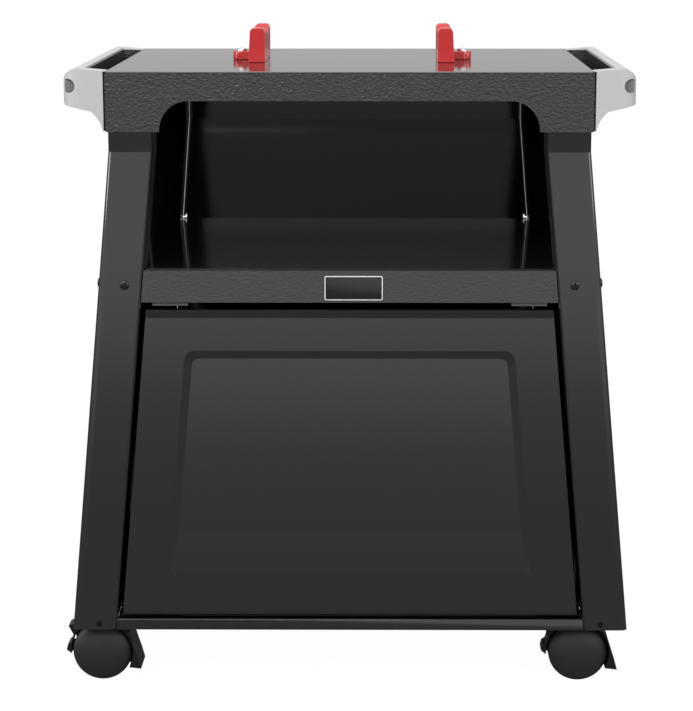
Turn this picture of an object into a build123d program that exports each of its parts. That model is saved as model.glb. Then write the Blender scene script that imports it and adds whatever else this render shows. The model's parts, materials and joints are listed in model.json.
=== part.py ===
import os
from math import cos, radians, sin, tan
from build123d import *

os.makedirs("parts", exist_ok=True)

# overall
top_width = 600.0
top_depth = 480.0
top_height = 771.0
splay = 4.9               # lean of every outer face below the bend, degrees
bend_drop = 99.0          # legs and panels are upright down to this below the top
foot_z = 75.0             # lower edge of legs and base rails

# sheet metal
top_sheet = 2.0
sheet = 1.5
apron_drop = 36.0         # from the top surface to the arch
gusset_drop = 74.0        # from the top surface to the gusset ends
gusset_width = 66.0
arch_radius = 36.0
leg_face = 55.0
rear_face = 61.0          # the rear legs are wider
leg_side = 54.0
leg_bend = 8.0            # outer radius of the folded corners

# shelf, base and panels
rail_top = 526.5
rail_bottom = 487.0
rail_depth = 16.0
base_top = 88.7
base_depth = 24.0         # the base sheet rests on the rails
panel_inset = 5.0         # panels sit this far behind the leg faces
panel_gap = 0.5           # slit beside the back panel below the bend
slit_notch = 5.0
lap = 1.0                 # how far cutting tools overrun
loose = 0.5               # clearance round fitted sheets and plates

# door
door_top = 478.3
door_bottom = 92.5
door_depth = 18.0
door_gap = 7.0            # between door and legs
lip_out = 5.0
lip_height = 10.5
lip_edge = 2.0
lip_root = 4.0
recess_top = 427.0
recess_bottom = 147.5
recess_margin = 52.0      # door edge to recess
recess_depth = 3.5
recess_step = 0.4         # depth left at the lower edge
recess_wall = 10.0        # width of the sloping recess wall
recess_radius = 14.0
hinge_back = 12.0         # hinge axis behind the door face
hinge_up = 12.0           # and above its lower edge
door_round = 6.0          # lower front edge, clears the base rail as the door drops
hinge_radius = 3.0
hinge_block = 13.0        # drilled blocks inside the lower corners
running = 0.05            # radial clearance of turning pins
catch_x = 223.0           # middle of each magnet catch
catch_width = 44.0
catch_height = 4.2
catch_depth = 11.0

# side handles
handle_out = 53.0
handle_rise = 3.0         # over the top
handle_depth = 52.0
handle_foot = 24.0        # drop of the web along the apron
handle_bar = 25.0
handle_end = 34.0
handle_corner = 18.0      # rounding over the outer edge
handle_under = 4.5        # rounding under it
handle_fall = 4.5         # the underside is higher by this at the outer edge
handle_hollow = 40.0      # underside curve into the apron
handle_nose = 24.0        # rounding of the ends in plan
socket_radius = 8.7       # round sockets in the ends
socket_in = 7.5           # from the outer face
socket_drop = 21.0        # below the handle's top
socket_depth = 14.0

# locks
lock_inner = 112.0        # half the space between the two locks
lock_thick = 21.5
lock_taper = 2.5
lock_length = 145.0
lock_height = 44.0
lock_round = 5.5
saddle_radius = 122.0
saddle_dip = 9.0
lock_pivot = 146.0
lock_boss = 11.5
lock_boss_height = 10.5
lock_lift = 0.3           # running gap under the locks
lock_post = 3.0

# casters
wheel_radius = 37.5
wheel_inner = 5.5         # inner face of each wheel from the middle plane
wheel_outer = 26.0        # outer face
caster_inset = 46.4       # stem from the outer leg faces at the foot
caster_trail = 13.0
fender_gap = 2.0
fender_half = 25.0
web_half = 4.5
stem_radius = 5.5
socket_wall = 3.0
socket_height = 26.0
plate_up = 9.0            # foot plate over the lower leg edge
axle_radius = 4.0
axle_gap = 0.4            # half the gap between the two stub shafts
pedal_half = 2.6          # half thickness of the pedal between the cheeks
pedal_play = 0.4
pedal_pin_radius = 2.0
pad_half = 13.0           # half width of the pedal's two treads

# caster outlines about the wheel centre, in fender radii
fender_span = (-30.0, 112.0)                     # degrees
fender_brow = ((-0.30, 1.05), (0.10, 1.076), (0.55, 0.95), (0.90, 0.66))
fender_back = ((1.05, 0.16), (1.157, -0.163), (1.26, -0.545))
web_end = 110.0                                  # degrees
web_edge = ((-0.684, 0.532), (-0.709, 0.203), (-0.279, -0.076), (-0.228, -0.228), (0.203, -0.304))
pedal_pin = (-0.557, 0.354)
pedal_slot = ((-0.342, -1.27), (-0.342, 0.861), (-1.013, 1.013), (-1.52, 0.76), (-1.52, -1.27))
pedal_rocker = ((-0.405, 0.506), (-0.861, 0.935), (-1.101, 0.80), (-0.911, 0.481), (-0.873, 0.278),
                (-1.13, 0.19), (-1.18, 0.0), (-1.013, -0.127), (-0.76, 0.076), (-0.405, 0.203))
pedal_treads = ((-0.81, 0.935), (-1.101, 0.80), (-0.949, 0.506), (-1.025, 0.248), (-1.13, 0.19),
                (-1.18, 0.0), (-1.025, -0.127), (-1.01, -0.1), (-1.005, 0.177), (-0.883, 0.51),
                (-0.757, 0.675))

bend_z = top_height - bend_drop
handle_top = top_height + handle_rise
handle_bottom = handle_top - handle_depth
lean = tan(radians(splay))
half_w = top_width / 2
half_d = top_depth / 2
leg_x = half_w - top_sheet          # outer leg faces above the bend
leg_y = half_d - top_sheet
under_top = top_height - top_sheet


def spread(z):
    return (bend_z - z) * lean if z < bend_z else 0.0


front = Plane((0, -leg_y, bend_z), x_dir=(1, 0, 0), z_dir=(0, -cos(radians(splay)), sin(radians(splay))))
rear = Plane((0, leg_y, bend_z), x_dir=(-1, 0, 0), z_dir=(0, cos(radians(splay)), sin(radians(splay))))
right = Plane((leg_x, 0, bend_z), x_dir=(0, 1, 0), z_dir=(cos(radians(splay)), 0, sin(radians(splay))))
left = Plane((-leg_x, 0, bend_z), x_dir=(0, -1, 0), z_dir=(-cos(radians(splay)), 0, sin(radians(splay))))


def along(z):
    return (z - bend_z) / cos(radians(splay))


def trapezoid(z0, z1, half_at_bend, wide=0.0, high=0.0):
    lo, hi = half_at_bend + spread(z0) + wide, half_at_bend + spread(z1) + wide
    return [(-lo, along(z0) - high), (lo, along(z0) - high), (hi, along(z1) + high), (-hi, along(z1) + high)]


def face_on(plane, points, radius=0.0):
    with BuildSketch(plane) as s:
        Polygon(*points, align=None)
        if radius:
            fillet(s.vertices(), radius)
    return s.sketch


def save(item, name):
    item.part.label = name
    export_step(item.part, f"parts/{name}.step")


# top
with BuildPart() as top_plate:
    with Locations((0, 0, under_top)):
        Box(top_width, top_depth, top_sheet, align=(Align.CENTER, Align.CENTER, Align.MIN))
    chamfer(top_plate.edges().filter_by(Axis.Z), top_sheet)
    chamfer(top_plate.faces().sort_by(Axis.Z)[-1].edges(), top_sheet / 2)
save(top_plate, "top_plate")


def arched(plane, half):
    with BuildSketch(plane) as s:
        with Locations((0, top_height - gusset_drop)):
            Rectangle(2 * half, gusset_drop - top_sheet, align=(Align.CENTER, Align.MIN))
        with Locations((0, top_height - gusset_drop)):
            Rectangle(2 * (half - gusset_width), gusset_drop - apron_drop,
                      align=(Align.CENTER, Align.MIN), mode=Mode.SUBTRACT)
        arch = top_height - apron_drop
        fillet(s.vertices().filter_by_position(Axis.Y, arch - lap, arch + lap), arch_radius)
    return s.sketch


for name, side in (("front_apron", -1), ("rear_apron", 1)):
    with BuildPart() as apron:
        plane = Plane((0, side * leg_y, 0), x_dir=(1, 0, 0), z_dir=(0, -1, 0))
        extrude(arched(plane, half_w), amount=-side * top_sheet)
    save(apron, name)

for name, side in (("side_skirt_left", -1), ("side_skirt_right", 1)):
    with BuildPart() as skirt:
        plane = Plane((side * leg_x, 0, 0), x_dir=(0, 1, 0), z_dir=(1, 0, 0))
        extrude(arched(plane, leg_y), amount=side * top_sheet)
    save(skirt, name)

# legs
stem_x = leg_x + spread(foot_z) - caster_inset
stem_y = leg_y + spread(foot_z) - caster_inset
pin_z = door_bottom + hinge_up
pin_y = leg_y + spread(pin_z) - hinge_back
plate_z = foot_z + plate_up

for name, sx, sy in (("leg_front_left", -1, -1), ("leg_front_right", 1, -1),
                     ("leg_rear_left", -1, 1), ("leg_rear_right", 1, 1)):
    face = leg_face if sy < 0 else rear_face
    with BuildPart() as leg:
        with BuildSketch(Plane((0, 0, bend_z))) as channel:
            with Locations((sx * (leg_x - face / 2), sy * (leg_y - leg_side / 2))):
                Rectangle(face, leg_side)
            fillet(channel.vertices().sort_by(Axis.Y)[-2:] if sy > 0
                   else channel.vertices().sort_by(Axis.Y)[:2], leg_bend)
            with BuildSketch(mode=Mode.SUBTRACT) as hollow:
                with Locations((sx * (leg_x - face / 2), sy * (leg_y - leg_side / 2 - sheet))):
                    Rectangle(face - 2 * sheet, leg_side)
                chamfer(hollow.vertices().sort_by(Axis.Y)[-2:] if sy > 0
                        else hollow.vertices().sort_by(Axis.Y)[:2], leg_bend / 2)
        extrude(channel.sketch, amount=under_top - bend_z, mode=Mode.ADD)
        extrude(channel.sketch, amount=(bend_z - foot_z) * (1 + 2 * lean ** 2) ** 0.5,
                dir=(sx * lean, sy * lean, -1))
        # the inner wall stops over the base rail
        inner = leg_x + spread(base_top) - face
        with Locations((sx * inner, sy * (leg_y + spread(base_top) - leg_bend - lap), 0)):
            Box(face / 2, 2 * leg_side, base_top, mode=Mode.SUBTRACT,
                align=(Align.CENTER, Align.MAX if sy > 0 else Align.MIN, Align.MIN))
        # foot plate with the caster socket
        out_x, out_y = leg_x + spread(plate_z) - sheet / 2, leg_y + spread(plate_z) - sheet / 2
        with Locations((sx * out_x, sy * out_y, plate_z)):
            Box(face - 2 * loose, leg_side - 2 * loose, 2 * sheet,
                align=(Align.MAX if sx > 0 else Align.MIN, Align.MAX if sy > 0 else Align.MIN, Align.MIN))
        with BuildSketch(Plane((sx * stem_x, sy * stem_y, plate_z))):
            RegularPolygon(stem_radius + socket_wall, 6, major_radius=False)
        extrude(amount=socket_height)
        with Locations((sx * stem_x, sy * stem_y, plate_z)):
            Cylinder(stem_radius + running, 3 * socket_height, mode=Mode.SUBTRACT)
        if sy < 0:
            wall = leg_x + spread(pin_z) - leg_face
            with Locations(Location((sx * wall, sy * pin_y, pin_z), (0, 90, 0))):
                Cylinder(hinge_radius, 8 * sheet, mode=Mode.SUBTRACT)
    save(leg, name)

# shelf and base rails
inner_x = leg_x - leg_face          # inner leg edges above the bend
inner_back = leg_x - rear_face
inner_y = leg_y - leg_side

with BuildPart() as shelf_front_rail:
    extrude(face_on(front, trapezoid(rail_bottom, rail_top, inner_x)), amount=-rail_depth)
    extrude(face_on(front.offset(-sheet), trapezoid(rail_bottom, rail_top, inner_x, lap, -sheet)),
            amount=-rail_depth, mode=Mode.SUBTRACT)
save(shelf_front_rail, "shelf_front_rail")

for name, plane, half in (("base_front_rail", front, inner_x), ("base_rear_rail", rear, inner_back),
                          ("base_side_rail_left", left, inner_y), ("base_side_rail_right", right, inner_y)):
    with BuildPart() as rail:
        extrude(face_on(plane, trapezoid(foot_z, base_top, half)), amount=-base_depth)
        extrude(face_on(plane.offset(-sheet), trapezoid(foot_z - base_depth, base_top, half, lap, -sheet)),
                amount=-base_depth, mode=Mode.SUBTRACT)
    save(rail, name)


def tray(z, front_y):
    # a flat sheet between the sloping walls, notched round the four legs
    back = (panel_inset + sheet) / cos(radians(splay))
    wide, deep = leg_x + spread(z) - back, leg_y + spread(z) - back
    with BuildPart() as flat:
        with Locations((0, 0, z)):
            Box(2 * wide, 2 * deep, sheet, align=(Align.CENTER, Align.CENTER, Align.MAX))
        for sx in (-1, 1):
            for sy, half in ((-1, inner_x), (1, inner_back)):
                with Locations((sx * (half + spread(z) - loose), sy * (inner_y + spread(z) - loose), z)):
                    Box(2 * leg_face, 2 * leg_side, 3 * sheet,
                        align=(Align.MIN if sx > 0 else Align.MAX, Align.MIN if sy > 0 else Align.MAX,
                               Align.CENTER), mode=Mode.SUBTRACT)
        with Locations((0, -front_y, z)):
            Box(2 * top_width, top_depth, 3 * sheet, align=(Align.CENTER, Align.MAX, Align.CENTER),
                mode=Mode.SUBTRACT)
    return flat


shelf_z = rail_top
with BuildPart() as shelf_pan:
    add(tray(shelf_z, leg_y + spread(shelf_z) - rail_depth - loose / 2).part)
save(shelf_pan, "shelf_pan")

base_z = base_top + sheet
with BuildPart() as base_pan:
    add(tray(base_z, leg_y + spread(base_z) - door_depth - door_gap / 2).part)
save(base_pan, "base_pan")

# panels follow the bend: sloping below it, upright above
for name, plane, half, out in (("back_panel", rear, inner_back, (0, 1)),
                               ("side_panel_left", left, inner_y, (-1, 0)),
                               ("side_panel_right", right, inner_y, (1, 0))):
    with BuildPart() as panel:
        reach = (leg_x if out[0] else leg_y) - panel_inset / cos(radians(splay))
        start = (out[0] * reach, out[1] * reach, bend_z)
        inset = Plane(start, x_dir=plane.x_dir, z_dir=plane.z_dir)
        extrude(face_on(inset, trapezoid(base_z, bend_z, half, -panel_gap)),
                amount=sheet / cos(radians(splay)), dir=(-out[0], -out[1], 0))
        up = Plane(start, x_dir=plane.x_dir, z_dir=(out[0], out[1], 0))
        with BuildSketch(up) as upper:
            Rectangle(2 * (half - running), under_top - bend_z, align=(Align.CENTER, Align.MIN))
        extrude(upper.sketch, amount=-sheet / cos(radians(splay)))
        if out[1]:
            for sx in (-1, 1):
                with Locations((sx * (half + spread(shelf_z) - panel_gap), leg_y, shelf_z + lap)):
                    Box(2 * slit_notch, 2 * leg_side, slit_notch,
                        align=(Align.CENTER, Align.CENTER, Align.MIN), mode=Mode.SUBTRACT)
    save(panel, name)

# drop front door
door_half = inner_x - door_gap
with BuildPart() as door:
    extrude(face_on(front, trapezoid(door_bottom, door_top, door_half)), amount=-door_depth)
    fillet(door.edges().filter_by(Axis.X).sort_by(Axis.Z)[:2].sort_by(Axis.Y)[0], door_round)
    with BuildSketch(Plane.YZ) as lip:
        face_y, face_z = -leg_y - spread(door_top), door_top
        low_y, low_z = -leg_y - spread(door_top - lip_height), door_top - lip_height
        Polygon((face_y + lip_root, face_z), (face_y - lip_out, face_z),
                (face_y - lip_out, face_z - lip_edge), (low_y, low_z), (low_y + lip_root, low_z), align=None)
    extrude(lip.sketch, amount=door_half + spread(door_top), both=True)
    hollow = trapezoid(door_bottom + door_round / 2, door_top, door_half, -sheet, -sheet)
    extrude(face_on(front.offset(-sheet), hollow), amount=-door_depth, mode=Mode.SUBTRACT)
    # dished recess, deepest at the top and almost flush at the bottom
    for grow, mode in ((sheet, Mode.ADD), (0.0, Mode.SUBTRACT)):
        floor_top, fall = recess_top - recess_wall, recess_depth - recess_step
        rise = along(floor_top) - along(recess_bottom)
        foot = front.from_local_coords((0, along(recess_bottom), -recess_step - grow))
        head = front.from_local_coords((0, along(floor_top), -recess_depth - grow))
        floor = Plane(foot, x_dir=(1, 0, 0), z_dir=Vector(1, 0, 0).cross(head - foot))
        wide, narrow = door_half - recess_margin + grow, door_half - recess_margin - recess_wall + grow
        with BuildSketch(front) as mouth:
            Polygon(*trapezoid(recess_bottom - grow, recess_top + grow, wide), align=None)
            fillet(mouth.vertices(), recess_radius)
        with BuildSketch(floor) as bed:
            long = (rise ** 2 + fall ** 2) ** 0.5
            low, high = narrow + spread(recess_bottom), narrow + spread(floor_top)
            Polygon((-low, recess_step - grow), (low, recess_step - grow), (high, long + grow),
                    (-high, long + grow), align=None)
            fillet(bed.vertices(), recess_radius - recess_wall / 2)
        loft([mouth.sketch.face(), bed.sketch.face()], ruled=True, mode=mode)
    # hinge blocks in the lower corners
    for sx in (-1, 1):
        edge = door_half + spread(pin_z) - sheet / 2
        with Locations((sx * (edge - hinge_block / 2), -pin_y, pin_z)):
            Box(hinge_block, hinge_block, hinge_block)
        with Locations(Location((sx * edge, -pin_y, pin_z), (0, 90, 0))):
            Cylinder(hinge_radius + running, 3 * hinge_block, mode=Mode.SUBTRACT)
save(door, "door")

with BuildPart() as hinge_pins:
    for sx in (-1, 1):
        wall = leg_x + spread(pin_z) - leg_face          # inner leg wall at the hinge
        with Locations(Location((sx * (wall + 2 * sheet), -pin_y, pin_z), (0, -90 * sx, 0))):
            Cylinder(hinge_radius, 2 * sheet + door_gap + hinge_block,
                     align=(Align.CENTER, Align.CENTER, Align.MIN))
save(hinge_pins, "hinge_pins")

with BuildPart() as magnet_catches:
    for sx in (-1, 1):
        with Locations(front):
            with Locations((sx * catch_x, along(rail_bottom), -door_depth / 2)):
                Box(catch_width, catch_height, catch_depth, align=(Align.CENTER, Align.MAX, Align.CENTER))
save(magnet_catches, "magnet_catches")

# side handles
for name, side in (("left", -1), ("right", 1)):
    x0, x1 = half_w, half_w + handle_out
    plane = Plane((0, 0, 0), x_dir=(side, 0, 0), z_dir=(0, -side, 0))
    with BuildPart() as handle:
        with BuildSketch(plane) as end:
            with BuildLine():
                low, lip = handle_bottom - handle_foot, handle_bottom + handle_under + handle_fall
                Polyline((x0, low), (x0, top_height), (x1 - handle_corner, handle_top))
                RadiusArc((x1 - handle_corner, handle_top), (x1, handle_top - handle_corner), handle_corner)
                Line((x1, handle_top - handle_corner), (x1, lip + handle_under / 2))
                RadiusArc((x1, lip + handle_under / 2), (x1 - handle_under, lip - handle_under / 2),
                          handle_under)
                Line((x1 - handle_under, lip - handle_under / 2), (x0 + handle_out / 3, handle_bottom))
                RadiusArc((x0 + handle_out / 3, handle_bottom), (x0 + 2 * sheet, low), -handle_hollow)
                Line((x0 + 2 * sheet, low), (x0, low))
            make_face()
        extrude(end.sketch, amount=half_d, both=True)
        with Locations((side * x0, 0, handle_bottom)):
            Box(2 * (handle_out - handle_bar), top_depth - 2 * handle_end, 4 * handle_out,
                mode=Mode.SUBTRACT)
        with BuildSketch(Plane.XY.offset(low)) as plan:
            with Locations((side * (x0 + handle_out / 2), 0)):
                Rectangle(handle_out, top_depth)
            fillet(plan.vertices().sort_by(Axis.X)[::side][-2:], handle_nose)
        extrude(plan.sketch, amount=handle_depth + handle_foot, mode=Mode.INTERSECT)
        for sy in (-1, 1):
            place = Location((side * (x1 - socket_in), sy * half_d, handle_top - socket_drop), (90, 0, 0))
            with Locations(place):
                Cylinder(socket_radius, 2 * socket_depth, mode=Mode.SUBTRACT)
    save(handle, f"handle_{name}")

    with BuildPart() as liner:
        with Locations((side * x0, 0, handle_bottom + 2 * sheet)):
            Box(handle_out - handle_bar, top_depth - 2 * handle_end, handle_top - handle_bottom - 4 * sheet,
                align=(Align.MIN if side > 0 else Align.MAX, Align.CENTER, Align.MIN))
            Box(2 * (handle_out - handle_bar - sheet), top_depth - 2 * (handle_end + sheet), 4 * handle_out,
                mode=Mode.SUBTRACT)
    save(liner, f"handle_liner_{name}")

# turning locks on the top
for name, side in (("griddle_lock_left", -1), ("griddle_lock_right", 1)):
    with BuildPart() as lock:
        with BuildSketch(Plane.XZ.offset(lock_length / 2)) as fin:
            base = top_height + lock_lift
            Polygon((side * lock_inner, base), (side * (lock_inner + lock_thick), base),
                    (side * (lock_inner + lock_thick - lock_taper), top_height + lock_height),
                    (side * lock_inner, top_height + lock_height), align=None)
            fillet(fin.vertices().group_by(Axis.Y)[-1], lock_round)
        extrude(fin.sketch, amount=-lock_length)
        with BuildSketch(Plane.YZ.offset(side * lock_inner)) as saddle:
            with Locations((0, top_height + lock_height + saddle_radius - saddle_dip)):
                Circle(saddle_radius)
        extrude(saddle.sketch, amount=2 * lock_thick, both=True, mode=Mode.SUBTRACT)
        with BuildSketch(Plane((0, 0, base))) as boss:
            with Locations((side * lock_pivot, 0)):
                Circle(lock_boss)
            with Locations((side * (lock_inner + lock_thick / 2 + lock_pivot) / 2, 0)):
                Rectangle(lock_pivot - lock_inner - lock_thick / 2, 2 * lock_boss)
        extrude(boss.sketch, amount=lock_boss_height)
        with Locations((side * lock_pivot, 0, top_height)):
            Cylinder(lock_post + running, 4 * lock_boss_height, mode=Mode.SUBTRACT)
    save(lock, name)

with BuildPart() as lock_posts:
    for side in (-1, 1):
        with Locations((side * lock_pivot, 0, top_height)):
            Cylinder(lock_post, lock_lift + lock_boss_height, align=(Align.CENTER, Align.CENTER, Align.MIN))
save(lock_posts, "lock_posts")

# casters, trailing left at the front and right at the back
rim = wheel_radius + fender_gap


def on_rim(*points):
    return [(rim * x, rim * y) for x, y in points]


def at_angle(degrees):
    return rim * cos(radians(degrees)), rim * sin(radians(degrees))


for name, sx, sy in (("front_left", -1, -1), ("front_right", 1, -1),
                     ("rear_left", -1, 1), ("rear_right", 1, 1)):
    turn = -1 if sy < 0 else 1                   # the way the wheels trail
    cx, cy = sx * stem_x + turn * caster_trail, sy * stem_y
    upright = Plane((cx, cy, wheel_radius), x_dir=(-turn, 0, 0), z_dir=(0, turn, 0))

    with BuildPart() as hood:
        with BuildSketch(upright) as crescent:
            with BuildLine():
                start, end = at_angle(fender_span[0]), at_angle(fender_span[1])
                middle = at_angle(sum(fender_span) / 2)
                ThreePointArc(start, middle, end)
                Polyline(end, *on_rim(*fender_brow, *fender_back), start)
            make_face()
        extrude(crescent.sketch, amount=fender_half, both=True)
        with BuildSketch(upright) as web:
            with BuildLine():
                ThreePointArc(start, middle, at_angle(web_end))
                Polyline(at_angle(web_end), *on_rim(*web_edge), start)
            make_face()
        extrude(web.sketch, amount=web_half, both=True)
        with Locations((sx * stem_x, cy, wheel_radius + rim - lap)):
            Cylinder(stem_radius, plate_z + socket_height - wheel_radius - rim + lap,
                     align=(Align.CENTER, Align.CENTER, Align.MIN))
        with BuildSketch(upright) as slot:
            Polygon(*on_rim(*pedal_slot), align=None)
        extrude(slot.sketch, amount=pedal_half + pedal_play, both=True, mode=Mode.SUBTRACT)
        with BuildSketch(upright) as bore:
            Circle(axle_radius)
        extrude(bore.sketch, amount=fender_half, both=True, mode=Mode.SUBTRACT)
        with BuildSketch(upright) as pivot:
            with Locations(on_rim(pedal_pin)):
                Circle(pedal_pin_radius)
        extrude(pivot.sketch, amount=web_half - pedal_play, both=True)
    save(hood, f"caster_hood_{name}")

    for wheel_name, way in (("outer", sy), ("inner", -sy)):
        with BuildPart() as wheel:
            with BuildSketch(Plane((cx, cy, wheel_radius), x_dir=(1, 0, 0), z_dir=(0, 0, 1))) as half:
                with BuildLine():
                    r, shaft = wheel_radius, axle_radius - running
                    Polyline((0, way * axle_gap), (shaft, way * axle_gap), (shaft, way * wheel_inner),
                             (r, way * wheel_inner), (r, way * wheel_outer), (0, way * wheel_outer),
                             close=True)
                make_face()
            revolve(axis=Axis((cx, cy, wheel_radius), (0, 1, 0)))
        save(wheel, f"caster_wheel_{wheel_name}_{name}")

    with BuildPart() as pedal:
        with BuildSketch(upright) as rocker:
            Polygon(*on_rim(*pedal_rocker), align=None)
            with Locations(on_rim(pedal_pin)):
                Circle(pedal_pin_radius + running, mode=Mode.SUBTRACT)
        extrude(rocker.sketch, amount=pedal_half, both=True)
        with BuildSketch(upright) as pads:
            Polygon(*on_rim(*pedal_treads), align=None)
        extrude(pads.sketch, amount=pad_half, both=True)
    save(pedal, f"brake_pedal_{name}")
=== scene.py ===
import json
import math

import bpy
import numpy as np
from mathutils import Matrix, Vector


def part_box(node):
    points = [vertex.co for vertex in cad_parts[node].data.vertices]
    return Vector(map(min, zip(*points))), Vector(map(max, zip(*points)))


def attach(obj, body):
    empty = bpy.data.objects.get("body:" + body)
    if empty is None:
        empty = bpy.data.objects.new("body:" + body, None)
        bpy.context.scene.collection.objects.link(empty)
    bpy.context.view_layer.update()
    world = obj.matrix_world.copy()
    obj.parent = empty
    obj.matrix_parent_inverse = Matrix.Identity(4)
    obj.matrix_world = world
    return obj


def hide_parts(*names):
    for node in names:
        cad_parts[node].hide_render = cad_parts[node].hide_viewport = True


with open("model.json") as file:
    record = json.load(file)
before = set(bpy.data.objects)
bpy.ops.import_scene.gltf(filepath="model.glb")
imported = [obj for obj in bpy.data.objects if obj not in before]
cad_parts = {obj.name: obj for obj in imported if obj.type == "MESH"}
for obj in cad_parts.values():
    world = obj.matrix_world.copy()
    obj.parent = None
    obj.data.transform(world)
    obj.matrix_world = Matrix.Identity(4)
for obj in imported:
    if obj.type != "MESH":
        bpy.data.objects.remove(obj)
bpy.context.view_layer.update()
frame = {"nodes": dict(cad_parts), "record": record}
nodes = frame["nodes"]
print("frame loaded:", len(nodes), "nodes")

corners = ("front_left", "front_right", "rear_left", "rear_right")
sides = (("left", -1), ("right", 1))
ends = (("front", -1), ("rear", 1))

# where the sloping faces are, read back from the solids
standShape = {"bendHeight": 0.672, "topSheet": 0.002}
_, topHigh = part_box("top_plate")
legLow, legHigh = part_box("leg_front_right")
faceX, faceY = topHigh.x - standShape["topSheet"], topHigh.y - standShape["topSheet"]
lean = (legHigh.x - faceX) / (standShape["bendHeight"] - legLow.z)
leanAngle = math.atan(lean)


def spread(z):  # how far the faces stand out below the bend
    return lean * max(standShape["bendHeight"] - z, 0.0)


def onFront(x, z, side=-1):  # point and outward direction on a sloping front or rear face
    return (Vector((x, side * (faceY + spread(z)), z)),
            Vector((0, side * math.cos(leanAngle), math.sin(leanAngle))))


def onSide(y, z, side):  # the same on a left or right face
    return (Vector((side * (faceX + spread(z)), y, z)),
            Vector((side * math.cos(leanAngle), 0, math.sin(leanAngle))))


# finishes

paintLook = {
    "gloss_black": {"colour": 0.0105, "roughness": 0.07, "index": 1.6},
    "textured_black": {"colour": 0.025, "roughness": 0.22, "index": 1.6},
    "light_grey_plastic": {"colour": 0.43, "roughness": 0.40},
    "mid_grey_plastic": {"colour": 0.16, "roughness": 0.45},
    "caster_plastic": {"colour": 0.006, "roughness": 0.42, "shine": 0.22},
    "wheel_plastic": {"colour": 0.0155, "roughness": 0.48, "shine": 0.3},
    "red_plastic": {"colour": (0.50, 0.014, 0.015), "roughness": 0.22, "shine": 0.6},
    "screw_steel": {"colour": 0.48, "roughness": 0.36, "metal": 1.0},
}
trimLook = {
    "badgeDark": {"colour": 0.006, "roughness": 0.2},
    "badgeRim": {"colour": 0.75, "roughness": 0.3},
    "darkScrew": {"colour": 0.005, "roughness": 0.3, "shine": 0.35},
    "catchGrey": {"colour": 0.075, "roughness": 0.5, "shine": 0.3},
    # painted shade: a near-black finish for pins, holes and gaps that sit in shade
    "paintedShadeBlack": {"colour": 0.002, "roughness": 0.6, "shine": 0.1},
}
hammerLook = {"size": 330.0, "stretch": (0.8, 0.8, 1.1), "depth": 0.0009, "strength": 0.7, "waviness": 0.5,
              "detail": 2.0, "smoothBelow": 0.54, "fullAbove": 0.69, "least": 0.4}
grainLook = {"size": 900.0, "depth": 0.00012, "strength": 0.35}


def plainFinish(name, colour, roughness, metal=0.0, shine=0.5, index=1.5):
    mat = bpy.data.materials.new(name)
    mat.use_nodes = True
    shader = mat.node_tree.nodes["Principled BSDF"]
    rgb = colour if isinstance(colour, tuple) else (colour, colour, colour)
    shader.inputs["Base Color"].default_value = (*rgb, 1.0)
    shader.inputs["Roughness"].default_value = roughness
    shader.inputs["Metallic"].default_value = metal
    shader.inputs["Specular IOR Level"].default_value = shine
    shader.inputs["IOR"].default_value = index
    mat.diffuse_color = (*rgb, 1.0)
    return mat


def addRelief(mat, size, depth, strength, stretch=(1, 1, 1), waviness=0.0, detail=3.0,
              smoothBelow=None, fullAbove=None, least=1.0):  # noise bump in metres, weaker low down if asked
    tree = mat.node_tree
    shader = tree.nodes["Principled BSDF"]
    coord = tree.nodes.new("ShaderNodeTexCoord")
    mapping = tree.nodes.new("ShaderNodeMapping")
    noise = tree.nodes.new("ShaderNodeTexNoise")
    bump = tree.nodes.new("ShaderNodeBump")
    mapping.inputs["Scale"].default_value = stretch
    noise.inputs["Scale"].default_value = size
    noise.inputs["Detail"].default_value = detail
    noise.inputs["Distortion"].default_value = waviness
    bump.inputs["Strength"].default_value = strength
    bump.inputs["Distance"].default_value = depth
    tree.links.new(coord.outputs["Object"], mapping.inputs["Vector"])
    tree.links.new(mapping.outputs["Vector"], noise.inputs["Vector"])
    tree.links.new(noise.outputs["Fac"], bump.inputs["Height"])
    tree.links.new(bump.outputs["Normal"], shader.inputs["Normal"])
    if smoothBelow is not None:
        split = tree.nodes.new("ShaderNodeSeparateXYZ")
        fade = tree.nodes.new("ShaderNodeMapRange")
        fade.inputs["From Min"].default_value = smoothBelow
        fade.inputs["From Max"].default_value = fullAbove
        fade.inputs["To Min"].default_value = least * strength
        fade.inputs["To Max"].default_value = strength
        tree.links.new(coord.outputs["Object"], split.inputs[0])
        tree.links.new(split.outputs["Z"], fade.inputs["Value"])
        tree.links.new(fade.outputs["Result"], bump.inputs["Strength"])


finishes = {name: plainFinish(name, **look) for name, look in {**paintLook, **trimLook}.items()}
addRelief(finishes["textured_black"], **hammerLook)
addRelief(finishes["caster_plastic"], **grainLook)

for part in frame["record"]["subparts"]:
    mesh = nodes[part["node"]].data
    mesh.materials.clear()
    mesh.materials.append(finishes[part["material_slot"]])
nodes["hinge_pins"].data.materials[0] = finishes["paintedShadeBlack"]  # in the shade of the door gap
nodes["magnet_catches"].data.materials[0] = finishes["catchGrey"]
print("finishes:", len(finishes))


# surfaces

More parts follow.
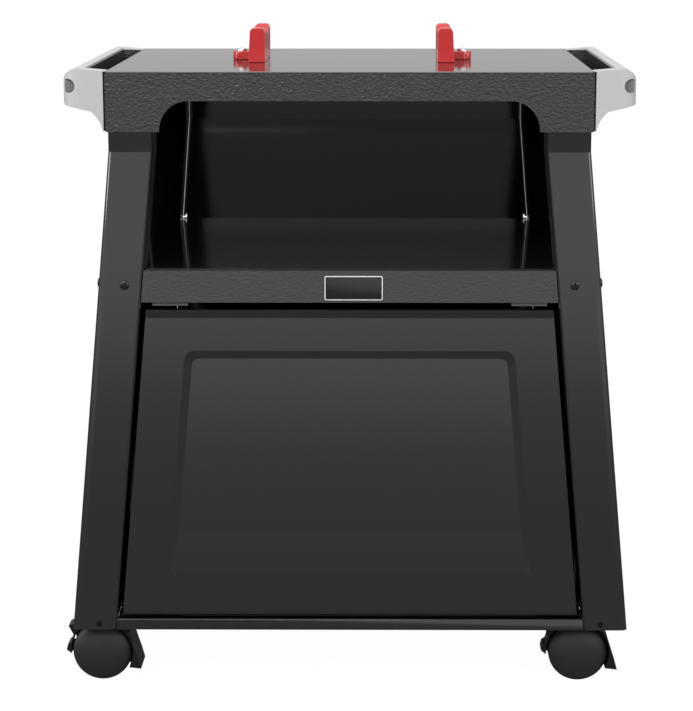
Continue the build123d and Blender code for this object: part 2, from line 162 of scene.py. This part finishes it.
def ringSurface(name, rings, finish, body, sharp=35.0):
    # rings is rows x columns x 3, closed along each row, with a flat cap on the first and last row
    rows, cols, _ = rings.shape
    index = np.arange(rows * cols).reshape(rows, cols)
    nextCol = np.roll(index, -1, axis=1)
    quads = np.stack([index[:-1], nextCol[:-1], nextCol[1:], index[1:]], axis=-1).reshape(-1, 4)
    points = rings.reshape(-1, 3)
    a, b, c, d = (points[quads[:, i]] for i in range(4))
    volume = np.einsum("ij,ij->", a, np.cross(b, c)) + np.einsum("ij,ij->", a, np.cross(c, d))
    first, last = points[index[0]], points[index[-1]]
    volume += capVolume(first[::-1]) + capVolume(last)
    faces = quads.tolist() + [index[0][::-1].tolist(), index[-1].tolist()]
    if volume < 0:  # turned inside out
        faces = [face[::-1] for face in faces]
    mesh = bpy.data.meshes.new(name)
    mesh.from_pydata(points.tolist(), [], faces)
    mesh.polygons.foreach_set("use_smooth", np.ones(len(faces), bool))
    mesh.set_sharp_from_angle(angle=math.radians(sharp))
    mesh.materials.append(finishes[finish])
    obj = bpy.data.objects.new(name, mesh)
    bpy.context.scene.collection.objects.link(obj)
    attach(obj, body)
    return obj


def capVolume(loop):  # signed volume under a fan over one loop of points
    a, b, c = loop[:1], loop[1:-1], loop[2:]
    return np.einsum("ij,ij->", np.broadcast_to(a, b.shape), np.cross(b, c))


def frameOf(normal):  # two directions across a normal
    n = np.array(normal, float)
    n /= np.linalg.norm(n)
    side = np.cross((0, 0, 1.0), n) if abs(n[2]) < 0.9 else np.array((1.0, 0, 0))
    side /= np.linalg.norm(side)
    return side, np.cross(n, side), n


def turned(profile, centre, normal, segments):  # (radius, height) profile turned about a normal
    profile = np.asarray(profile, float)
    angle = np.linspace(0, 2 * np.pi, segments, endpoint=False)
    side, up, n = frameOf(normal)
    radius, height = profile[:, 0, None, None], profile[:, 1, None, None]
    circle = np.cos(angle)[:, None] * side + np.sin(angle)[:, None] * up
    return np.asarray(centre, float) + radius * circle[None] + height * n


# domed wheels: a shaft, a quarter-round edge and a dome, whose radius falls as the cosine
# and whose height grows as the sine of one angle

wheelLook = {"dome": 0.0305, "treadEnd": 0.0155, "rim": 0.0020, "hub": 0.0008, "innerFace": 0.0055,
             "shaft": 0.0039, "shaftEnd": 0.0006, "rimSteps": 6, "domeSteps": 40, "segments": 96}
dome, treadEnd, rim = wheelLook["dome"], wheelLook["treadEnd"], wheelLook["rim"]
innerFace = wheelLook["innerFace"]  # from the middle plane
turn = np.linspace(0, np.pi / 2, wheelLook["rimSteps"])
swell = np.linspace(0, np.pi / 2, wheelLook["domeSteps"])[:-1]
shaft = np.array([[wheelLook["shaft"], wheelLook["shaftEnd"]], [wheelLook["shaft"], innerFace]])

for corner in corners:
    hoodLow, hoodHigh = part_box(f"caster_hood_{corner}")
    middle = (hoodLow.y + hoodHigh.y) / 2
    for which in ("outer", "inner"):
        node = f"caster_wheel_{which}_{corner}"
        low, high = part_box(node)
        radius = (high.z - low.z) / 2
        way = 1 if (low.y + high.y) / 2 > middle else -1
        edge = np.stack([radius - rim + rim * np.sin(turn), innerFace + rim - rim * np.cos(turn)], axis=1)
        bowl = np.stack([radius * np.cos(swell), treadEnd + (dome - treadEnd) * np.sin(swell)], axis=1)
        profile = np.concatenate([shaft, edge, bowl, [[wheelLook["hub"], dome]]])
        centre = ((low.x + high.x) / 2, middle, (low.z + high.z) / 2)
        rings = turned(profile, centre, (0, way, 0), wheelLook["segments"])
        wheel = ringSurface(f"domedWheel_{which}_{corner}", rings, "wheel_plastic",
                            f"wheel_{which}_{corner}")
        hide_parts(node)
print("wheels:", 2 * len(corners), "domed")


# screws: a pan head with a cross pressed into its crown

screwLook = {
    "leg": {"radius": 0.0058, "height": 0.0032, "finish": "darkScrew"},
    # low: flat near-black heads, painted shade of the dark holes low on the legs
    "low": {"radius": 0.0036, "height": 0.0004, "finish": "paintedShadeBlack"},
    "lock": {"radius": 0.0064, "height": 0.0042, "finish": "screw_steel"},
}
screwPlaces = {"railHeight": 0.5085, "frontX": 0.279, "sideY": 0.230, "lowX": 0.3150, "lowHeight": 0.0825}
headLook = {"rows": 15, "cols": 64, "tip": 0.02, "edgeHeight": 0.45, "crossDepth": 0.45,
            "armWidth": 0.13, "armEnd": 0.62, "armFade": 0.12}  # shares of the radius and height


def panScrew(name, place, normal, radius, height, finish, slot=None):
    # height is an upright edge plus a quarter ellipse of the radius, less a cross-shaped dip in the middle
    reach = np.linspace(1.0, headLook["tip"], headLook["rows"])[:, None]
    angle = np.linspace(0, 2 * np.pi, headLook["cols"], endpoint=False)
    x, y = reach * np.cos(angle), reach * np.sin(angle)
    edgeHeight = headLook["edgeHeight"]
    crown = edgeHeight + (1 - edgeHeight) * np.sqrt(np.clip(1 - reach ** 2, 0, 1))
    arm = np.minimum(np.abs(x), np.abs(y)) / headLook["armWidth"]
    fade = np.clip((headLook["armEnd"] - reach) / headLook["armFade"], 0, 1)
    lift = height * (crown - headLook["crossDepth"] * np.clip(1 - arm ** 4, 0, 1) * fade)
    side, up, n = frameOf(normal)
    top = radius * (x[..., None] * side + y[..., None] * up) + lift[..., None] * n
    skirt = radius * (np.cos(angle)[:, None] * side + np.sin(angle)[:, None] * up)
    rings = np.concatenate([skirt[None], top]) + np.asarray(place, float)
    return ringSurface(name, rings, finish, "frame", sharp=50.0)


for side, sx in sides:
    for end, sy in ends:
        facePlace = onFront(sx * screwPlaces["frontX"], screwPlaces["railHeight"], sy)
        sidePlace = onSide(sy * screwPlaces["sideY"], screwPlaces["railHeight"], sx)
        lowPlace = onFront(sx * screwPlaces["lowX"], screwPlaces["lowHeight"], sy)
        panScrew(f"legScrewFace_{side}_{end}", *facePlace, **screwLook["leg"])
        panScrew(f"legScrewSide_{side}_{end}", *sidePlace, **screwLook["leg"])
        panScrew(f"legScrewLowShade_{side}_{end}", *lowPlace, **screwLook["low"])
postLow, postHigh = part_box("lock_posts")
for side, sx in sides:
    place = (sx * (postHigh.x - (postHigh.y - postLow.y) / 2), 0, postHigh.z)
    panScrew(f"lockScrew_{side}", place, (0, 0, 1), slot="screw_steel", **screwLook["lock"])
print("screws: 12 on the legs, 2 on the locks")


# a bare plate on the shelf rail, a dark field in a pale rim

plateLook = {"x": 0.0050, "z": 0.5050, "width": 0.072, "height": 0.0300, "corner": 0.0022,
             "rimSteps": ((0, 0), (0, 0.00096), (0.00024, 0.0012)),  # (inset, lift)
             "fieldSteps": ((0.0011, 0.00108), (0.0011, 0.00132), (0.00132, 0.00138))}


def roundedLoop(width, height, corner, cols=72):  # rounded rectangle from four quarter circles
    quarter = np.linspace(0, np.pi / 2, cols // 4)
    mid = np.array([(1, 1), (-1, 1), (-1, -1), (1, -1)]) * (width / 2 - corner, height / 2 - corner)
    angle = quarter + np.arange(4)[:, None] * np.pi / 2
    arc = corner * np.stack([np.cos(angle), np.sin(angle)], axis=-1)
    return (mid[:, None] + arc).reshape(-1, 2)


def flatPlate(name, place, normal, width, height, corner, steps, finish, leastCorner=0.0002):
    # a stack of rounded loops, each drawn in by its inset and raised by its lift
    side, up, n = frameOf(normal)
    loops = []
    for inset, lift in steps:
        loop = roundedLoop(width - 2 * inset, height - 2 * inset, max(corner - inset, leastCorner))
        loops.append(loop[:, :1] * side + loop[:, 1:] * up + lift * n)
    return ringSurface(name, np.array(loops) + np.asarray(place, float), finish, "frame")


plateAt, plateOut = onFront(plateLook["x"], plateLook["z"])
plateSize = (plateLook["width"], plateLook["height"], plateLook["corner"])
flatPlate("plateRim", plateAt, plateOut, *plateSize, plateLook["rimSteps"], "badgeRim")
flatPlate("plateField", plateAt, plateOut, *plateSize, plateLook["fieldSteps"], "badgeDark")
print("plate: bare")


# the foot of the door's dish, run out flush: a wedge whose depth grows evenly from foot to head

dishLook = {"bottom": 0.1475, "below": 0.001, "step": 0.0004, "fall": 0.0115, "length": 0.052,
            "margin": 0.052, "proud": 0.00003, "under": 0.0003}
doorLow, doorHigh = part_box("door")
doorEdge = doorHigh.x - spread(doorLow.z)  # half the door's width, carried up to the bend
foot, head = dishLook["bottom"] - dishLook["below"], dishLook["bottom"] + dishLook["length"]
depth = dishLook["step"] + dishLook["fall"] * dishLook["length"] - dishLook["proud"]
halfWidth = doorEdge + spread(dishLook["bottom"]) - dishLook["margin"]
section = [(foot, dishLook["proud"]), (head, -depth), (head, -depth - dishLook["under"]),
           (foot, -dishLook["under"])]
rings = []
for x in (-halfWidth, halfWidth):
    placed = [(*onFront(x, z), lift) for z, lift in section]
    rings.append([np.array(at) + lift * np.array(out) for at, out, lift in placed])
ringSurface("dishFoot", np.array(rings), "gloss_black", "door")
print("dish: foot run out")


# tighter folds on the inner edges of the front legs

foldLook = {"doorGap": 0.007, "bend": 0.008, "fold": 0.0040, "inside": 0.0073, "proud": 0.00003,
            "foot": 0.0005, "tuck": 0.005, "crease": 0.0004, "steps": 9}
apronLow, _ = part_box("front_apron")
innerX = doorEdge + foldLook["doorGap"]
bend, fold, proud = foldLook["bend"], foldLook["fold"], foldLook["proud"]
crease = foldLook["crease"]  # short strips beside the curves keep the flats flat
quarter = np.linspace(0, np.pi / 2, foldLook["steps"])
# across and back from the corner: a small quarter circle outside, a large one inside the sheet
outside = np.stack([fold * (1 - np.sin(quarter)), fold * (1 - np.cos(quarter))], axis=1) - proud
inside = bend - foldLook["inside"] * np.stack([np.cos(quarter), np.sin(quarter)], axis=1)
section = np.concatenate([[(bend, -proud), (fold + crease, -proud)], outside,
                          [(-proud, fold + crease), (-proud, bend)], inside])
aroundBend = [standShape["bendHeight"] + crease * step for step in (-2, -1, 1, 2)]
heights = (legLow.z + foldLook["foot"], *aroundBend, apronLow.z + foldLook["tuck"])
for side, sx in sides:
    rings = [np.stack([sx * (innerX + spread(z) + section[:, 0]), section[:, 1] - faceY - spread(z),
                       np.full(len(section), z)], axis=1) for z in heights]
    ringSurface(f"legFold_{side}", np.array(rings), "gloss_black", "frame")
print("leg folds:", len(sides))


# hems that narrow the slits beside the back and side panels: thin strips that follow the legs' lean

hemLook = {"overlap": 0.003, "thick": 0.0003, "coverTop": 0.00049, "coverFoot": 0.00046, "notch": 0.0030}
shelfLow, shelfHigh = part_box("shelf_pan")
hemCount = 0
for panel, turn in (("back_panel", 0), ("side_panel_left", 1), ("side_panel_right", -1)):
    low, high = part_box(panel)
    reach = np.maximum(np.abs(low), np.abs(high))[:2] - spread(low.z)
    edge, back = reach[::-1] if turn else reach
    spans = (("low", low.z, shelfLow.z), ("high", shelfHigh.z + hemLook["notch"], standShape["bendHeight"]))
    for side, sx in sides:
        for part, foot, head in spans:
            rings = []
            for z, cover in ((foot, hemLook["coverFoot"]), (head, hemLook["coverTop"])):
                inside, outside = edge + spread(z) - hemLook["overlap"], edge + spread(z) + cover
                near, far = back + spread(z), back + spread(z) + hemLook["thick"]
                loop = [(sx * inside, near), (sx * outside, near), (sx * outside, far), (sx * inside, far)]
                rings.append([(-turn * out, along, z) if turn else (along, out, z) for along, out in loop])
            ringSurface(f"hem_{panel}_{side}_{part}", np.array(rings), "gloss_black", "frame")
            hemCount += 1
print("panel hems:", hemCount)


# a near-black strip on the base rail, in the gap under the door: painted shade of the gap, a thin box along
# the rail

stripLook = {"from": 0.0015, "to": 0.0140, "thick": 0.0003, "pastDoor": 0.005}
_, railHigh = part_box("base_front_rail")
front = faceY + spread(railHigh.z)
halfWidth = doorHigh.x + stripLook["pastDoor"]
near, far = stripLook["from"] - front, stripLook["to"] - front
foot, head = railHigh.z, railHigh.z + stripLook["thick"]
rings = np.array([[(x, near, foot), (x, far, foot), (x, far, head), (x, near, head)]
                  for x in (-halfWidth, halfWidth)])
ringSurface("underDoorShadeStrip", rings, "paintedShadeBlack", "frame")
print("strip under the door")


# painted shade of the gaps where the handles meet the aprons: thin near-black plates

gapShadeLook = {"width": 0.0020, "proud": 0.0003, "foot": 0.0005, "corner": 0.0004}
gapShadeSteps = ((0, -gapShadeLook["proud"]), (0, gapShadeLook["proud"]))
for side, sx in sides:
    low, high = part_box(f"handle_{side}")
    bottom = low.z + gapShadeLook["foot"]
    for end, sy in ends:
        place = (sx * (topHigh.x + gapShadeLook["width"] / 2), sy * high.y, (bottom + topHigh.z) / 2)
        flatPlate(f"handleGapShade_{side}_{end}", place, (0, sy, 0), gapShadeLook["width"], topHigh.z - bottom,
                  gapShadeLook["corner"], gapShadeSteps, "paintedShadeBlack")
print("handle seams:", len(sides) * len(ends))


# soft edges on the moulded and folded pieces

softWidth = {"griddle_lock": 0.0006, "base_front_rail": 0.0008, "base_rear_rail": 0.0008,
             "caster_hood": 0.0005, "brake_pedal": 0.0004}
softLook = {"weld": 0.00002, "flatAngle": 0.5, "sharpAngle": 40.0, "segments": 3}
softened = [(name, width) for start, width in softWidth.items() for name in sorted(nodes)
            if name.startswith(start)]
for name, width in softened:
    weld = nodes[name].modifiers.new("weld", "WELD")
    weld.merge_threshold = softLook["weld"]
    flat = nodes[name].modifiers.new("flat", "DECIMATE")
    flat.decimate_type = "DISSOLVE"
    flat.angle_limit = math.radians(softLook["flatAngle"])
    bevel = nodes[name].modifiers.new("softEdge", "BEVEL")
    bevel.width = width
    bevel.segments = softLook["segments"]
    bevel.limit_method = "ANGLE"
    bevel.angle_limit = math.radians(softLook["sharpAngle"])
    bevel.use_clamp_overlap = False  # clamped, the short facets hold it to nothing
    bevel.harden_normals = True
print("soft edges:", len(softened))


# plugs at the bottom of the round sockets in the handle ends: quarter-ellipse domes, cut flat outside; their
# mid grey, darker than the handles, is partly painted shade of the socket

plugLook = {"radius": 0.0084, "in": 0.0075, "drop": 0.021, "depth": 0.0139, "crown": 0.0010,
            "flat": 0.0030, "edge": 0.0002, "steps": 8, "segments": 40}
reach = np.linspace(0, np.pi / 2, plugLook["steps"])[:-1]
dome = np.stack([plugLook["radius"] * np.cos(reach), plugLook["crown"] * np.sin(reach)], axis=1)
profile = np.concatenate([[[plugLook["radius"], 0.0]], dome + (0, plugLook["edge"])])
for side, sx in sides:
    low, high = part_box(f"handle_{side}")
    outer = low.x if sx < 0 else high.x
    cut = outer - sx * plugLook["flat"]  # inside the handle's rounded end
    for end, sy in ends:
        place = (outer - sx * plugLook["in"], sy * (high.y - plugLook["depth"]), high.z - plugLook["drop"])
        rings = turned(profile, place, (0, sy, 0), plugLook["segments"])
        rings[..., 0] = np.maximum(rings[..., 0], cut) if sx < 0 else np.minimum(rings[..., 0], cut)
        ringSurface(f"handlePlug_{side}_{end}", rings, "mid_grey_plastic", "frame")
print("handle plugs:", len(sides) * len(ends))


# room: a pale floor, a white surround and soft lamps

roomLook = {"floorSize": 14.0, "floorColour": 0.45, "floorWhite": 0.88, "floorGlow": 1.11, "surround": 0.42,
            "horizon": ((-0.310, 0.25), (-0.085, 0.31), (-0.041, 0.46), (-0.010, 0.86), (0.015, 1.08)),
            "behind": 0.51, "turnBand": 0.3, "floorRoughness": 0.9}
# horizon is (height, shade) as mirrored in front, behind its share at the back, turnBand the change between
lampLook = {
    "key": {"at": (-1.4, -3.4, 2.9), "aim": (0, 0, 0.45), "size": (2.6, 1.6), "watts": 95.0},
    "fill": {"at": (2.2, -3.0, 1.9), "aim": (0, 0, 0.4), "size": (2.0, 1.6), "watts": 45.0},
    "left": {"at": (-3.2, -0.6, 1.5), "aim": (0, 0, 0.6), "size": (1.2, 1.6), "watts": 38.0},
    "right": {"at": (3.2, -0.6, 1.5), "aim": (0, 0, 0.6), "size": (1.2, 1.6), "watts": 20.0},
    "over": {"at": (0, 0.3, 3.2), "aim": (0, 0, 0.5), "size": (2.4, 2.0), "watts": 60.0},
}
cameraLook = {"at": (0.04477, -3.03705, 0.96259), "down": 11.0244, "left": 0.3577,
              "focalPixels": 2277.0, "middlePixel": 371.706, "imageSize": (693, 711),
              "sensor": 36.0}  # millimetres, across the longer side


def mathNode(tree, operation, first, second):
    node = tree.nodes.new("ShaderNodeMath")
    node.operation = operation
    for socket, value in zip(node.inputs, (first, second)):
        if isinstance(value, (int, float)):
            socket.default_value = value
        else:
            tree.links.new(value, socket)
    return node.outputs[0]


def makeSurround():  # white to the camera and in reflections, dimmer under the horizon and as light
    world = bpy.data.worlds.new("surround")
    bpy.context.scene.world = world
    world.use_nodes = True
    tree = world.node_tree
    path = tree.nodes.new("ShaderNodeLightPath")
    coord = tree.nodes.new("ShaderNodeTexCoord")
    split = tree.nodes.new("ShaderNodeSeparateXYZ")
    height = tree.nodes.new("ShaderNodeMapRange")
    ramp = tree.nodes.new("ShaderNodeValToRGB")
    low, high = roomLook["horizon"][0][0], roomLook["horizon"][-1][0]
    height.inputs["From Min"].default_value = low
    height.inputs["From Max"].default_value = high
    for level, _ in roomLook["horizon"][1:-1]:
        ramp.color_ramp.elements.new((level - low) / (high - low))
    for stop, (_, shade) in zip(ramp.color_ramp.elements, roomLook["horizon"]):
        stop.color = (shade, shade, shade, 1)
    tree.links.new(coord.outputs["Generated"], split.inputs[0])
    tree.links.new(split.outputs["Z"], height.inputs["Value"])
    tree.links.new(height.outputs["Result"], ramp.inputs["Fac"])
    back = tree.nodes.new("ShaderNodeMapRange")
    back.inputs["From Min"].default_value = -roomLook["turnBand"]
    back.inputs["From Max"].default_value = roomLook["turnBand"]
    back.inputs["To Min"].default_value = 1.0
    back.inputs["To Max"].default_value = roomLook["behind"]
    tree.links.new(split.outputs["Y"], back.inputs["Value"])
    mirrored = mathNode(tree, "MAXIMUM", path.outputs["Is Glossy Ray"], path.outputs["Is Transmission Ray"])
    shade = mathNode(tree, "MULTIPLY", ramp.outputs["Color"], back.outputs["Result"])
    mirrorShade = mathNode(tree, "MULTIPLY", mirrored, shade)
    seen = mathNode(tree, "MAXIMUM", path.outputs["Is Camera Ray"], mirrorShade)
    lit = mathNode(tree, "MULTIPLY", mathNode(tree, "SUBTRACT", 1.0, mirrored), roomLook["surround"])
    background = tree.nodes["Background"]
    background.inputs["Color"].default_value = (1, 1, 1, 1)
    tree.links.new(mathNode(tree, "MAXIMUM", seen, lit), background.inputs["Strength"])


def makeFloor():
    half = roomLook["floorSize"] / 2
    mesh = bpy.data.meshes.new("floor")
    outline = [(-half, -half, 0), (half, -half, 0), (half, half, 0), (-half, half, 0)]
    mesh.from_pydata(outline, [], [(0, 1, 2, 3)])
    floor = bpy.data.objects.new("floor", mesh)
    bpy.context.scene.collection.objects.link(floor)
    mat = plainFinish("paleFloor", roomLook["floorColour"], roomLook["floorRoughness"])
    tree = mat.node_tree
    path = tree.nodes.new("ShaderNodeLightPath")
    glow = tree.nodes.new("ShaderNodeEmission")
    glow.inputs["Strength"].default_value = roomLook["floorGlow"]
    mix = tree.nodes.new("ShaderNodeMixShader")
    share = mathNode(tree, "MULTIPLY", path.outputs["Is Camera Ray"], roomLook["floorWhite"])
    tree.links.new(share, mix.inputs["Fac"])
    tree.links.new(tree.nodes["Principled BSDF"].outputs[0], mix.inputs[1])
    tree.links.new(glow.outputs[0], mix.inputs[2])
    tree.links.new(mix.outputs[0], tree.nodes["Material Output"].inputs["Surface"])
    mesh.materials.append(mat)
    floor.visible_glossy = False  # the glossy sheet shows the surround's own shade there


def makeLamp(name, at, aim, size, watts):
    lamp = bpy.data.lights.new(name, "AREA")
    lamp.shape = "RECTANGLE"
    lamp.size, lamp.size_y = size
    lamp.energy = watts
    obj = bpy.data.objects.new(name, lamp)
    obj.location = at
    obj.rotation_euler = (Vector(aim) - Vector(at)).to_track_quat("-Z", "Y").to_euler()
    bpy.context.scene.collection.objects.link(obj)


def makeCamera():
    width, height = cameraLook["imageSize"]
    camera = bpy.data.cameras.new("camera")
    camera.sensor_width = cameraLook["sensor"]
    camera.lens = cameraLook["focalPixels"] / height * camera.sensor_width
    camera.shift_x = -(cameraLook["middlePixel"] - width / 2) / height
    obj = bpy.data.objects.new("camera", camera)
    obj.location = cameraLook["at"]
    obj.rotation_euler = (math.radians(90 - cameraLook["down"]), 0, math.radians(cameraLook["left"]))
    bpy.context.scene.collection.objects.link(obj)
    bpy.context.scene.camera = obj


makeSurround()
makeFloor()
for name, look in lampLook.items():
    makeLamp(name, **look)
makeCamera()
bpy.context.scene.view_settings.view_transform = "Standard"
print("room: floor, surround,", len(lampLook), "lamps and camera")
